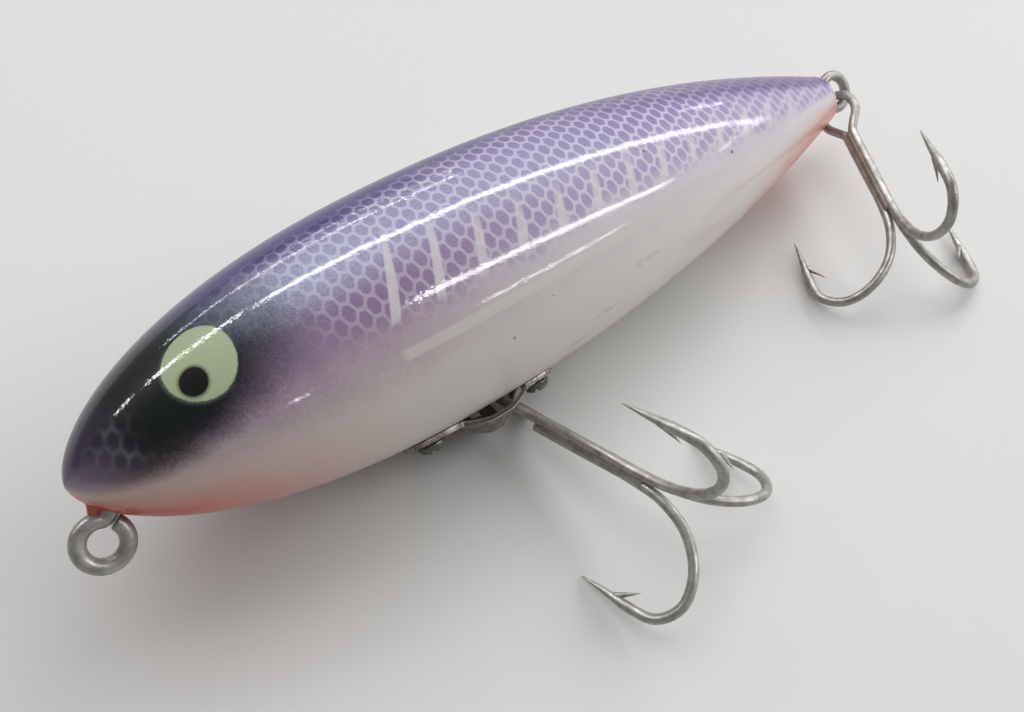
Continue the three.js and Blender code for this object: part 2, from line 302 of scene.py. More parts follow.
def add_tube(form, line, radius, sides, look=0, rounding=WIRE_ROUNDING):
    """A closed tube along a line, with rounded ends. Its radius is one number or one for each point."""
    line = np.asarray(line, float)
    radius = np.broadcast_to(np.asarray(radius, float), (len(line),))
    tangents = np.gradient(line, axis=0)
    tangents /= np.linalg.norm(tangents, axis=1)[:, None]
    side = np.cross(tangents[0], SIDES_FROM)
    side /= np.linalg.norm(side)
    along = np.concatenate([[0], np.cumsum(np.linalg.norm(np.diff(line, axis=0), axis=1))])
    rings = []
    turns = np.linspace(0, 2 * math.pi, sides, endpoint=False)
    sections = []
    for i, (centre, tangent) in enumerate(zip(line, tangents)):
        side = side - tangent * np.dot(side, tangent)
        side /= np.linalg.norm(side)
        sections.append((centre, tangent, side.copy(), np.cross(tangent, side), radius[i]))

    def ring(section, shrink, push):
        centre, tangent, across, up, r = section
        for turn in turns:
            outwards = across * math.cos(turn) + up * math.sin(turn)
            rings.append(centre + tangent * push + shrink * r * outwards)

    ring(sections[0], 1 - rounding, 0)
    ring(sections[0], 1, rounding * radius[0])
    first = next(i for i in range(len(line)) if along[i] > rounding * radius[0])
    last = max(i for i in range(len(line)) if along[-1] - along[i] > rounding * radius[-1])
    for section in sections[first:last + 1]:
        ring(section, 1, 0)
    ring(sections[-1], 1, -rounding * radius[-1])
    ring(sections[-1], 1 - rounding, 0)
    faces = ring_faces(len(rings) // sides, sides)
    form.add(rings + [line[0], line[-1]], faces, look=look)


# Finishes: small helpers that build a material's nodes; a value is a socket or a plain number

def colour(red, green, blue):
    """A colour given as 0 to 255, as a screen shows it, in the linear values that a shader takes."""
    shown = [c / 255 for c in (red, green, blue)]
    return tuple(c / 12.92 if c <= 0.04045 else ((c + 0.055) / 1.055) ** 2.4 for c in shown) + (1,)


class Finish:
    def __init__(self, name):
        self.material = bpy.data.materials.new(name)
        self.material.use_nodes = True
        self.nodes = self.material.node_tree.nodes
        self.links = self.material.node_tree.links
        self.shader = self.nodes["Principled BSDF"]

    def put(self, value, socket):
        if isinstance(value, bpy.types.NodeSocket):
            self.links.new(value, socket)
        else:
            socket.default_value = value

    def math(self, operation, a, b=0.0, c=0.0):
        node = self.nodes.new("ShaderNodeMath")
        node.operation = operation
        for value, socket in zip((a, b, c), node.inputs):
            self.put(value, socket)
        return node.outputs[0]

    def add(self, a, b):
        return self.math("ADD", a, b)

    def less(self, a, b):
        return self.math("SUBTRACT", a, b)

    def times(self, a, b):
        return self.math("MULTIPLY", a, b)

    def ramp(self, value, low, high):
        """0 at low, 1 at high, smooth between them; low may be the larger."""
        node = self.nodes.new("ShaderNodeMapRange")
        node.interpolation_type = "SMOOTHSTEP"
        flip = not isinstance(low, bpy.types.NodeSocket) and low > high
        ends = (high, low, 1.0, 0.0) if flip else (low, high, 0.0, 1.0)
        for name, given in zip(("Value", "From Min", "From Max", "To Min", "To Max"), (value, *ends)):
            self.put(given, node.inputs[name])
        return node.outputs[0]

    def blend(self, kind, share, a, b):
        node = self.nodes.new("ShaderNodeMix")
        node.data_type = kind
        for name, value in (("Factor", share), ("A", a), ("B", b)):
            self.put(value, node.inputs[name])
        return node.outputs["Result"]

    def mix(self, share, a, b):
        return self.blend("RGBA", share, a, b)

    def mix_value(self, share, a, b):
        return self.blend("FLOAT", share, a, b)

    def band(self, value, low, full, high, end):
        """0 below low, 1 from full to high, 0 above end."""
        return self.times(self.ramp(value, low, full), self.ramp(value, end, high))

    def distance(self, along, around, oval):
        """Distance from an oval's middle, 1 on its edge."""
        across = self.times(self.less(along, oval["along"]), 1 / oval["length"])
        down = self.times(self.less(around, oval["around"]), 1 / oval["height"])
        return self.math("SQRT", self.add(self.times(across, across), self.times(down, down)))

    def spot(self, along, around, at, turn, length, height, softness):
        oval = {"along": at, "around": turn, "length": length, "height": height}
        return self.ramp(self.distance(along, around, oval), 1, 1 - softness)

    def mark(self):
        """The three numbers that the mesh carries as its mark."""
        node = self.nodes.new("ShaderNodeAttribute")
        node.attribute_name = "mark"
        split = self.nodes.new("ShaderNodeSeparateXYZ")
        self.links.new(node.outputs["Vector"], split.inputs[0])
        return list(split.outputs)

    def vector(self, x, y, z=0.0):
        node = self.nodes.new("ShaderNodeCombineXYZ")
        for value, socket in zip((x, y, z), node.inputs):
            self.put(value, socket)
        return node.outputs[0]

    def place(self):
        """Place in the frame, in millimetres."""
        node = self.nodes.new("ShaderNodeTexCoord")
        scale = self.nodes.new("ShaderNodeVectorMath")
        scale.operation = "SCALE"
        self.links.new(node.outputs["Object"], scale.inputs[0])
        scale.inputs["Scale"].default_value = 1 / MM
        return scale.outputs[0]

    def noise(self, vector, size, detail=2.0, rough=0.5):
        """Noise from 0 to 1 whose lumps are about this many millimetres."""
        node = self.nodes.new("ShaderNodeTexNoise")
        self.links.new(vector, node.inputs["Vector"])
        node.inputs["Scale"].default_value = 1 / size
        node.inputs["Detail"].default_value = detail
        node.inputs["Roughness"].default_value = rough
        return node.outputs["Fac"]

    def bump(self, height, strength, distance):
        node = self.nodes.new("ShaderNodeBump")
        node.inputs["Strength"].default_value = strength
        node.inputs["Distance"].default_value = distance * MM
        self.links.new(height, node.inputs["Height"])
        return node.outputs[0]

    def set(self, **values):
        for name, value in values.items():
            self.put(value, self.shader.inputs[name.replace("_", " ")])


# Paint of the body. Its marks are millimetres from the nose, degrees round from the back, and millimetres
# round from the net's own line. Both sides have the same marks.

NET_TURN_FROM = 41.25
NET_WAVES = ((0.2916, 0.5125, 0.217), (0.5016, -0.4204, 0.229))
NET_LINE = 0.8
RIB = {"foot": 32.7, "pitch": 5.2, "lean": 0.1, "low": 80, "tip_width": 0.26, "foot_width": 0.56}
EYE = {"along": 15.1, "around": 52.8, "length": 3.45, "height": 20.6}
PUPIL = {"along": 13.9, "around": 60.4, "length": 1.3, "height": 7.9}
SPECKS = (
    (68.2, 63.5, 0.3), (80.9, 86, 0.35), (43.8, 113, 0.22),
    (49.5, 104, 0.12), (27.5, 38, 0.12), (19.8, 3.5, 0.6),
)
SPECK_DEGREES = 4.6
STAINS = ((63.3, 114.6, 3.4, 3.2), (56.7, 130, 3.0, 2.6), (53, 141, 3.0, 2.0))


def netting(f, along, net, blur):
    """1 in the cells of the net that the paint was sprayed through, 0 along its threads."""
    sway = f.vector(along, net)
    turns = []
    for i, (per_along, per_net, start) in enumerate(NET_WAVES):
        slow = f.noise(sway, 7.0 + 2 * i, 1)
        quick = f.noise(sway, 2.3 + i, 1)
        drift = f.add(f.times(f.less(slow, 0.5), 0.26), f.times(f.less(quick, 0.5), 0.14))
        turn = f.add(f.times(along, per_along), f.times(net, per_net))
        turns.append(f.add(f.add(turn, start), drift))
    across = f.math("PINGPONG", f.less(turns[0], turns[1]), 1.0)
    down = f.math("PINGPONG", f.add(turns[0], turns[1]), 1.0)
    to_centres = []
    for a, b in ((across, down), (f.less(1.0, across), f.less(1.0, down))):
        slanted = f.math("MULTIPLY_ADD", b, 1.5, f.times(a, 0.5))
        to_centres.append(f.math("SMOOTH_MAX", a, slanted, 0.4))
    from_centre = f.add(f.math("MINIMUM", *to_centres), f.times(f.less(f.noise(sway, 0.35, 1), 0.5), 0.16))
    return f.ramp(f.less(from_centre, NET_LINE), f.add(0.1, blur), f.less(-0.1, blur))


def painted_wood():
    f = Finish("painted_wood")
    along, around, net = f.mark()
    place = f.place()
    fine = f.noise(place, 0.16, 2, 0.6)
    speck = f.noise(place, 0.45, 2, 0.6)
    cloud = f.noise(place, 3.5, 2)
    misty = f.add(around, f.times(f.less(cloud, 0.5), 12))
    grainy = f.add(f.times(f.less(fine, 0.5), 2.2), f.times(f.less(speck, 0.5), 1.6))

    tone = white_and_mist(f, along, f.add(misty, f.times(grainy, 7)))
    on_nose = f.ramp(along, 14, 6)
    cells = netting(f, along, net, f.times(f.math("MAXIMUM", f.ramp(along, 72, 98), on_nose), 0.3))
    tone = scale_net(f, tone, along, around, misty, grainy, cells)
    # Painted sheen and glints of the pearl paint, around the coat's highlights
    tone = painted_pearl_sheen(f, tone, along, around, fine)
    tone = ribs(f, tone, along, around)
    tone = belly_stripe(f, tone, along, around)
    tone = head_mask(f, tone, along, around, cells, grainy, cloud)
    tone = orange_ends(f, tone, along, around, grainy, cloud)
    tone = painted_eye(f, tone, along, around, fine)
    tone = specks_and_stains(f, tone, along, around, speck)

    f.set(Base_Color=tone, Roughness=0.4, Specular_IOR_Level=0.16)
    f.set(Coat_Weight=0.6, Coat_Roughness=0.03, Coat_IOR=1.5)
    f.put(f.bump(fine, 0.5, 0.03), f.shader.inputs["Normal"])
    ripple = f.add(f.times(f.noise(place, 2.4, 1), 0.7), f.noise(place, 0.26, 1))
    f.put(f.bump(ripple, 0.26, 0.03), f.shader.inputs["Coat Normal"])
    return f.material


def white_and_mist(f, along, dusty):
    """White undercoat, with violet spray that thins out down the sides."""
    white = f.mix(f.ramp(along, 18, 78), colour(206, 198, 193), colour(217, 214, 211))
    mist = f.times(f.ramp(dusty, 118, 76), f.mix_value(f.ramp(along, 18, 54), 0.9, 0.3))
    violet = f.mix(f.ramp(along, 30, 60), colour(150, 118, 152), colour(142, 130, 178))
    return f.mix(mist, white, violet)


def scale_net(f, tone, along, around, misty, grainy, cells):
    """Scales sprayed through the net over the back and the sides, deepest along the back and by the tail."""
    lower = f.times(f.math("MAXIMUM", f.less(around, 40), 0.0), 0.12)
    seen = f.mix_value(f.ramp(f.less(along, lower), 19, 27), 0.85, cells)
    low, rear = f.ramp(misty, 46, 66), f.ramp(along, 32, 60)
    from_back = f.add(misty, f.times(f.ramp(along, 30, 56), 6))
    cell = f.mix(f.ramp(from_back, 14, 36), colour(38, 0, 104), colour(138, 125, 168))
    cell = f.mix(low, cell, f.mix(rear, colour(138, 115, 148), colour(160, 148, 180)))
    thread = f.mix(f.ramp(from_back, 13, 34), colour(50, 8, 108), colour(187, 182, 205))
    thread = f.mix(low, thread, f.mix(rear, colour(172, 158, 178), colour(194, 189, 206)))
    towards_tail = f.times(f.less(along, 70), 0.65)
    dusk = f.times(f.ramp(along, 58, 70), f.ramp(f.less(misty, towards_tail), 42, 22))
    dusk = f.times(dusk, f.mix_value(f.ramp(along, 70, 97), 0.5, 0.94))
    net_tone = f.mix(seen, thread, cell)
    net_tone = f.mix(dusk, net_tone, f.mix(seen, colour(108, 87, 130), colour(82, 59, 113)))
    return f.mix(f.ramp(f.add(misty, f.times(grainy, 3)), 88, 72), tone, net_tone)


def painted_pearl_sheen(f, tone, along, around, fine):
    """Painted sheen of the pearl paint where it catches the light: a pale bluish haze around the coat's
    highlights on the upper side behind the eye, and fine painted glints along the upper side.
    """
    sheen_band = f.times(f.band(along, 16, 21, 48, 74), f.band(around, 22, 40, 52, 68))
    grain = f.math("MULTIPLY_ADD", f.ramp(fine, 0.35, 0.65), 0.35, 0.25)
    painted_sheen = f.times(f.times(sheen_band, f.mix_value(f.ramp(along, 26, 40), 0.95, 0.62)), grain)
    # Pale bluish painted sheen around the highlights
    tone = f.mix(painted_sheen, tone, colour(188, 198, 222))
    # Fine painted glints along the upper side
    painted_glints = f.times(f.ramp(fine, 0.56, 0.78), f.band(around, 20, 38, 56, 96))
    return f.mix(f.times(painted_glints, 0.38), tone, colour(208, 213, 235))


def ribs(f, tone, along, around):
    """Pale ribs down the sides, softer towards the tail."""
    rib_at = f.add(along, f.times(f.less(around, RIB["low"]), RIB["lean"]))
    rib_turn = f.math("FRACT", f.add(f.times(f.less(rib_at, RIB["foot"]), 1 / RIB["pitch"]), 0.5))
    off_rib = f.times(f.math("ABSOLUTE", f.less(rib_turn, 0.5)), RIB["pitch"])
    soft = f.math("MULTIPLY_ADD", f.ramp(along, 60, 90), 0.5, 0.15)
    width = f.mix_value(f.ramp(around, 36, 74), RIB["tip_width"], RIB["foot_width"])
    rib = f.ramp(f.less(off_rib, width), soft, f.times(soft, -1.0))
    top = f.math("MULTIPLY_ADD", f.ramp(along, 32, 52), 22, 31)
    rib = f.times(rib, f.ramp(f.less(around, top), 0, 20))
    rib = f.times(rib, f.times(f.ramp(around, 84, 79), f.band(rib_at, 30.2, 30.3, 94, 102)))
    rib = f.times(rib, f.math("MULTIPLY_ADD", f.ramp(along, 32, 46), -0.1, 0.84))
    return f.mix(rib, tone, colour(206, 201, 206))


def belly_stripe(f, tone, along, around):
    stripe = f.times(f.band(around, 92.9, 94.1, 97.7, 99), f.band(along, 31.4, 32.4, 55, 84))
    return f.mix(f.times(stripe, 0.6), tone, colour(214, 209, 203))


def specks_and_stains(f, tone, along, around, speck):
    for at, turn, size in SPECKS:
        dot = f.times(f.spot(along, around, at, turn, size, size * SPECK_DEGREES, 0.6), 0.7)
        tone = f.mix(dot, tone, colour(52, 44, 40))
    for at, turn, length, height in STAINS:
        patch = f.times(f.spot(along, around, at, turn, length, height, 0.95), f.ramp(speck, 0.3, 0.7))
        tone = f.mix(f.times(patch, 0.5), tone, colour(150, 140, 70))
    return tone


def head_mask(f, tone, along, around, cells, grainy, cloud):
    """Dark green-black over the head, sprayed soft, with a little of the net on the nose."""
    below = f.math("MAXIMUM", f.less(around, 58), 0.0)
    above = f.math("MINIMUM", f.less(around, 58), 0.0)
    bow = f.add(f.times(f.times(below, below), 1 / 130), f.times(f.times(above, above), 1 / 300))
    edge = f.less(21.8, bow)
    wavy = f.add(f.times(f.less(cloud, 0.5), 3), f.times(grainy, 1.5))
    behind = f.ramp(f.add(f.less(along, edge), wavy), 5.5, -5.5)
    front = f.mix_value(f.ramp(around, 50, 76), 1.0, f.ramp(f.add(along, wavy), -3, 7.5))
    below_eye = f.add(around, f.add(f.times(f.less(cloud, 0.5), 14), f.times(grainy, 6)))
    chin = f.ramp(below_eye, 135, 73)
    mask = f.times(f.math("POWER", f.times(behind, chin), 0.6), front)
    dark = f.mix(f.ramp(along, 8, 1), colour(14, 22, 24), colour(66, 52, 84))
    dark = f.mix(f.times(f.ramp(along, 12, 19), f.ramp(around, 64, 34)), dark, colour(44, 62, 74))
    tone = f.mix(mask, tone, dark)
    threads = f.less(1.0, cells)
    nose = f.times(f.band(along, 0.5, 2.5, 5, 9), f.band(around, 40, 58, 80, 96))
    brow = f.times(f.band(along, 14, 19, 22, 28), f.band(around, 14, 24, 44, 60))
    tone = f.mix(f.times(f.times(threads, nose), f.ramp(cloud, 0.3, 0.7)), tone, colour(112, 116, 124))
    return f.mix(f.times(f.times(threads, brow), 0.14), tone, colour(150, 164, 180))


def orange_ends(f, tone, along, around, grainy, cloud):
    """Orange-red sprayed under the chin and under the tail."""
    low = f.add(around, f.add(f.times(f.less(cloud, 0.5), 16), f.times(grainy, 5)))
    throat = f.times(f.ramp(low, 90, 152), f.ramp(along, 34, 2))
    to_tail = f.times(f.less(along, 98), 1.2)
    tail = f.times(f.ramp(f.add(low, to_tail), 88, 142), f.ramp(along, 74, 100))
    tone = f.mix(f.times(throat, 0.95), tone, colour(205, 88, 68))
    pooled = f.times(f.ramp(low, 130, 152), f.ramp(along, 12, 5))
    tone = f.mix(f.times(pooled, 0.8), tone, colour(188, 62, 44))
    return f.mix(f.times(tail, 0.8), tone, colour(216, 94, 74))


def painted_eye(f, tone, along, around, fine):
    fuzz = f.times(f.less(fine, 0.5), 0.1)
    disc = f.add(f.distance(along, around, EYE), fuzz)
    halo = f.times(f.ramp(disc, 1.14, 1.0), f.ramp(f.less(along, f.times(around, 0.1)), 12, 6))
    tone = f.mix(f.times(halo, 0.3), tone, colour(140, 148, 140))
    tone = f.mix(f.ramp(disc, 1.03, 0.97), tone, colour(178, 193, 156))
    pupil = f.add(f.distance(along, around, PUPIL), fuzz)
    tone = f.mix(f.times(f.ramp(pupil, 1.3, 0.96), 0.75), tone, colour(66, 74, 48))
    return f.mix(f.ramp(pupil, 1.06, 0.94), tone, colour(16, 14, 12))


def dull_metal(name, clean, tarnished):
    """Old tinned or nickelled metal: cloudy, with fine pits, pale flecks of bright metal and painted glints,
    and a soft sheen.
    """
    f = Finish(name)
    place = f.place()
    cloud = f.noise(place, 1.2, 3)
    grain = f.noise(place, 0.2, 3, 0.6)
    tone = f.mix(f.ramp(cloud, 0.36, 0.7), clean, tarnished)
    tone = f.mix(f.times(f.ramp(grain, 0.56, 0.7), 0.35), tone, colour(84, 82, 78))
    # Pale flecks painted into the colour: bright bare metal, and painted glints of the speckled sheen
    tone = f.mix(f.times(f.ramp(grain, 0.42, 0.3), 0.4), tone, colour(214, 214, 212))
    f.set(Base_Color=tone, Metallic=0.5, Roughness=f.math("MULTIPLY_ADD", cloud, 0.2, 0.28))
    f.put(f.bump(grain, 0.4, 0.03), f.shader.inputs["Normal"])
    return f.material


def cut_edge():
    """Edge of the hanger's sheet, bare cut metal with light and shade painted on: a thin bright line painted
    as a highlight on the bridge's outer corner and at the front, painted glints speckled along the flanges,
    and painted shade darkening the edges over the bridge.
    """
    f = Finish("cut_edge")
    along, outwards, _ = f.mark()
    speckle = f.noise(f.place(), 0.3, 2, 0.6)
    on_bridge = f.band(along, 38.2, 38.5, 47.2, 47.6)
    bridge = f.times(f.times(on_bridge, f.ramp(outwards, 0.78, 0.92)), f.ramp(along, 38, 45))
    front = f.times(f.band(along, 35.6, 37.4, 38.3, 38.5), 0.9)
    rear = f.times(f.times(f.ramp(along, 47.2, 47.8), f.ramp(speckle, 0.4, 0.62)), 0.6)
    # Painted highlights along the edge, where it catches the light
    edge_highlight = f.math("MAXIMUM", f.math("MAXIMUM", bridge, front), rear)
    edge_tone_and_shade = f.mix(f.ramp(speckle, 0.4, 0.6), colour(112, 96, 90), colour(158, 142, 134))
    # Painted shade over the bridge's edges, which face into the dish
    edge_tone_and_shade = f.mix(on_bridge, edge_tone_and_shade, colour(74, 68, 62))
    tone = f.mix(edge_highlight, edge_tone_and_shade, colour(220, 214, 208))
    f.set(Base_Color=tone, Metallic=0.4, Roughness=0.4)
    f.put(f.bump(speckle, 0.5, 0.04), f.shader.inputs["Normal"])
    return f.material


# Body

def painted_body():
    widest = WIDEST_AT * BODY_LENGTH
    shoulder = BODY_LENGTH - TAIL_EDGE
    nose_steps, tail_steps, edge_steps = BODY_MESH["nose"], BODY_MESH["tail"], BODY_MESH["edge"]
    nose = widest * (np.arange(1, nose_steps + 1) / nose_steps) ** 2
    tail = widest + (shoulder - widest) * (np.arange(1, tail_steps + 1) / tail_steps)
    stations = [(x, float(body_radius(x))) for x in np.concatenate([nose, tail])]
    flat = float(body_radius(shoulder)) - TAIL_EDGE
    for i in range(1, edge_steps + 1):
        angle = math.pi / 2 * i / edge_steps
        stations.append((shoulder + TAIL_EDGE * math.sin(angle), flat + TAIL_EDGE * math.cos(angle)))
    stations.append((BODY_LENGTH, flat / 2))
    sides = BODY_MESH["sides"]
    places, marks = [], []
    for x, radius in stations:
        for j in range(sides):
            angle = 2 * math.pi * j / sides - math.pi
            place = Vector((x, -radius * math.sin(angle), radius * math.cos(angle) + float(camber(x))))
            in_frame = LURE @ place
            if in_frame.z < 0:
                place = LURE.inverted() @ Vector((in_frame.x, in_frame.y, 0))
            places.append(place)
            turned = abs(math.degrees(angle))
            marks.append((x, turned, math.radians(turned - NET_TURN_FROM) * radius))
    places += [Vector((0, 0, 0)), Vector((BODY_LENGTH, 0, 0))]
    marks += [(0, 90, 0), (BODY_LENGTH, 90, 0)]
    form = Form()
    form.add(places, ring_faces(len(stations), sides), marks)
    for points, ends in PAINT_RUNS:
        run = Form()
        route = through([on_lure(*p) for p in points], PAINT_RUN_MESH["steps"])
        radius = np.linspace(*ends, len(route))
        add_tube(run, route, radius, PAINT_RUN_MESH["sides"], rounding=PAINT_RUN_ROUNDING)
        form.add(run.places, run.faces, [PAINT_RUN_MARK] * len(run.places))
    piece("painted_body", "body", form, LURE, [painted_wood()])


# Screw eyes

def screw_eye(name, node, size, centre, towards, material):
    aside = towards.cross(Vector((0, 1, 0)))
    sweep = 2 * math.pi - math.radians(size["open"])
    points = [centre + towards * (size["ring"] + EYE_DEPTH), centre + towards * (size["ring"] + EYE_NECK)]
    ring_steps = SCREW_EYE_MESH["ring"]
    for i in range(2, ring_steps + 1):
        angle = sweep * i / ring_steps
        inwards = towards * size["ring"] * math.cos(angle)
        points.append(centre + inwards + aside * size["ring"] * math.sin(angle))
    line = through(points, SCREW_EYE_MESH["steps"], SCREW_EYE_MESH["smoothing"])
    form = Form()
    add_tube(form, line, size["wire"] / 2, SCREW_EYE_MESH["sides"])
    piece(name, node, form, LURE, [material])


# Belly hanger

def arch(x, top):
    """0 at the bridge's ends and 1 at its top."""
    start, end = BRIDGE["front"], BRIDGE["rear"]
    if x <= start or x >= end:
        return 0.0
    share = (x - start) / (top - start) if x < top else (end - x) / (end - top)
    return math.sin(share * math.pi / 2)


def plate_lift(x, y):
    rim = BRIDGE["rim_lift"] * min(1, 1.1 * arch(x, BRIDGE["rim_top"]))
    dish = BRIDGE["dish_lift"] * arch(x, BRIDGE["dish_top"])
    return rim + dish * (1 - (y / PLATE["half"]) ** 2)


def plate_half_width(x):
    from_end = min(x - PLATE["front"], PLATE["rear"] - x)
    in_corner = max(0, 1 - from_end / PLATE["corner"])
    cornered = max(0.5, math.sqrt(max(0, 1 - in_corner ** 2)))
    in_bridge = BRIDGE["front"] - WIDTH_STEP < x < BRIDGE["rear"] + WIDTH_STEP
    return (PLATE["half"] if in_bridge else PLATE["flange_half"]) * cornered


def grid_lines(low, high, step, kept):
    """Lines from low to high about a step apart, with one at each place to be kept."""
    lines = sorted({low, high, *[k for k in kept if low < k < high]})
    out = []
    for a, b in zip(lines, lines[1:]):
        out += list(np.linspace(a, b, max(1, round((b - a) / step)), endpoint=False))
    return out + [high]


def hanger_form():
    cuts = [w[k] for w in WINDOWS for k in (0, 1)]
    for beyond in (WIDTH_STEP - 0.01, WIDTH_STEP + 0.01):
        cuts += [BRIDGE["front"] - beyond, BRIDGE["rear"] + beyond]
    cuts_across = [w[k] / PLATE["half"] for w in WINDOWS for k in (2, 3)]
    xs = grid_lines(PLATE["front"], PLATE["rear"], SHEET_MESH["along"], cuts)
    shares = grid_lines(-1, 1, SHEET_MESH["across"], cuts_across)
    layers, marks = [], []
    for outwards in (0, 1):
        for x in xs:
            half = plate_half_width(x)
            for share in shares:
                y = share * half
                seat = math.sqrt((float(body_radius(x)) + GAP) ** 2 - y ** 2) - float(camber(x))
                layers.append((x, y, -(seat + plate_lift(x, y) + outwards * PLATE["thickness"])))
                marks.append((x, outwards, 0))
    columns = len(shares)
    layer = len(xs) * columns
    kept = set()
    for i in range(len(xs) - 1):
        for j in range(columns - 1):
            x, y = (xs[i] + xs[i + 1]) / 2, (shares[j] + shares[j + 1]) / 2 * PLATE["half"]
            if not any(a < x < b and c < y < d for a, b, c, d in WINDOWS):
                kept.add((i, j))
    faces, sides = [], []
    for i, j in sorted(kept):
        a, b = i * columns + j, (i + 1) * columns + j
        faces.append((a, a + 1, b + 1, b))
        faces.append((layer + a, layer + b, layer + b + 1, layer + a + 1))
        for there, (p, q) in (((i - 1, j), (a, a + 1)), ((i, j + 1), (a + 1, b + 1)),
                              ((i + 1, j), (b + 1, b)), ((i, j - 1), (b, a))):
            if there not in kept:
                sides.append((q, p, layer + p, layer + q))
    used = sorted({i for face in faces + sides for i in face})
    renumber = {old: new for new, old in enumerate(used)}
    form = Form()
    form.places = [layers[i] for i in used]
    form.marks = [marks[i] for i in used]
    form.faces = [[renumber[i] for i in face] for face in faces + sides]
    form.looks = [0] * len(faces) + [1] * len(sides)
    return form


def hanger_sheet(material, edge):
    made = piece("hanger_sheet", "hook_hanger", hanger_form(), LURE, [material, edge])
    bevel = made.modifiers.new("edges", "BEVEL")
    bevel.width = SHEET_EDGE["width"] * MM
    bevel.segments = SHEET_EDGE["segments"]
    bevel.limit_method = "ANGLE"
    bevel.angle_limit = math.radians(SHEET_EDGE["angle"])


# Hanger screws

def screw_form(x, seat):
    radius, shank, edge = SCREW["head"] / 2, SCREW["shank"] / 2, SCREW["edge"]
    profile = [(shank - SCREW["taper"], -SCREW["depth"]), (shank, 0), (radius - edge, 0), (radius, edge)]
    for i in range(SCREW_MESH["dome"]):
        angle = math.pi / 2 * i / SCREW_MESH["dome"]
        height = SCREW["lip"] + (SCREW["height"] - SCREW["lip"]) * math.sin(angle)
        profile.append((radius * math.cos(angle), height))
    sides = SCREW_MESH["sides"]
    places = []
    for r, height in profile:
        for j in range(sides):
            angle = 2 * math.pi * j / sides
            places.append((x + r * math.cos(angle), r * math.sin(angle), -(seat + height)))
    places += [(x, 0, -(seat - SCREW["depth"])), (x, 0, -(seat + SCREW["height"]))]
    form = Form()
    form.add(places, [tuple(reversed(face)) for face in ring_faces(len(profile), sides)])
    return form


def cut_slot(made, top):
    """Cuts the slot through a screw's head; top is the head's top, turned as the slot lies."""
    mesh = bpy.data.meshes.new("slot")
    long, deep, wide = 2 * SCREW["head"], SLOT["depth"], SLOT["width"] / 2
    corners = [(a * long, b * wide, c * deep) for a in (-1, 1) for b in (-1, 1) for c in (-1, 1)]
    faces = [(0, 1, 3, 2), (4, 6, 7, 5), (0, 4, 5, 1), (2, 3, 7, 6), (0, 2, 6, 4), (1, 5, 7, 3)]
    mesh.from_pydata([TO_METRES @ top @ Vector(c) for c in corners], [], faces)
    cutter = new_object("slot", mesh)
    cut = made.modifiers.new("slot", "BOOLEAN")
    cut.object = cutter
    cut.solver = "EXACT"
    bpy.context.view_layer.update()
    graph = bpy.context.evaluated_depsgraph_get()
    result = bpy.data.meshes.new_from_object(made.evaluated_get(graph))
    made.modifiers.clear()
    made.data = result
    bpy.data.objects.remove(cutter)


def hanger_screw(node, material):
    x, slot_at = SCREWS[node]
    seat = belly_line(x) + GAP + PLATE["thickness"] + GAP
    name = node.replace("hanger_screw", "domed_screw")
    made = piece(name, node, screw_form(x, seat), LURE, [material])
    turn = Matrix.Rotation(math.radians(slot_at), 4, "Z")
    cut_slot(made, LURE @ Matrix.Translation((x, 0, -(seat + SCREW["height"]))) @ turn)


# Treble hooks

def hook_place(size):
    at = LURE @ on_lure(*size["at"])
    heading = Matrix.Rotation(math.radians(size["heading"]), 4, "Z")
    rise = Matrix.Rotation(math.radians(-size["rise"]), 4, "Y")
    turn = Matrix.Rotation(math.radians(size["turn"]), 4, "X")
    return Matrix.Translation(at) @ heading @ rise @ turn


def add_prong(form, start, turn):
    turned = Matrix.Rotation(turn, 3, "X")

    def at(along, out):
        return turned @ Vector((along, 0, out))

    middle = (start + BEND[0][0]) / 2
    route = [at(start, WIRE_OFFSET), at(middle, WIRE_OFFSET)] + [at(*p) for p in BEND]
    route += [at(*POINT["tip"])]
    line = through(route, HOOK_MESH["prong"], HOOK_MESH["smoothing"])
    from_tip = np.linalg.norm(line - np.array(at(*POINT["tip"])), axis=1)
    ground = np.linalg.norm(np.array(POINT["start"]) - np.array(POINT["tip"]))
    thickening = np.clip(from_tip / ground, 0, 1) ** POINT["fullness"]
    past_half = np.arange(len(line)) > len(line) // 2
    pointed = POINT["tip_radius"] + (HOOK_WIRE / 2 - POINT["tip_radius"]) * thickening
    add_tube(form, line, np.where(past_half, pointed, HOOK_WIRE / 2), HOOK_MESH["sides"])
    barb = through([at(*BARB["start"]), at(*BARB["tip"])], BARB_MESH["steps"])
    add_tube(form, barb, np.linspace(BARB["width"] / 2, BARB["tip_radius"], len(barb)), BARB_MESH["sides"])


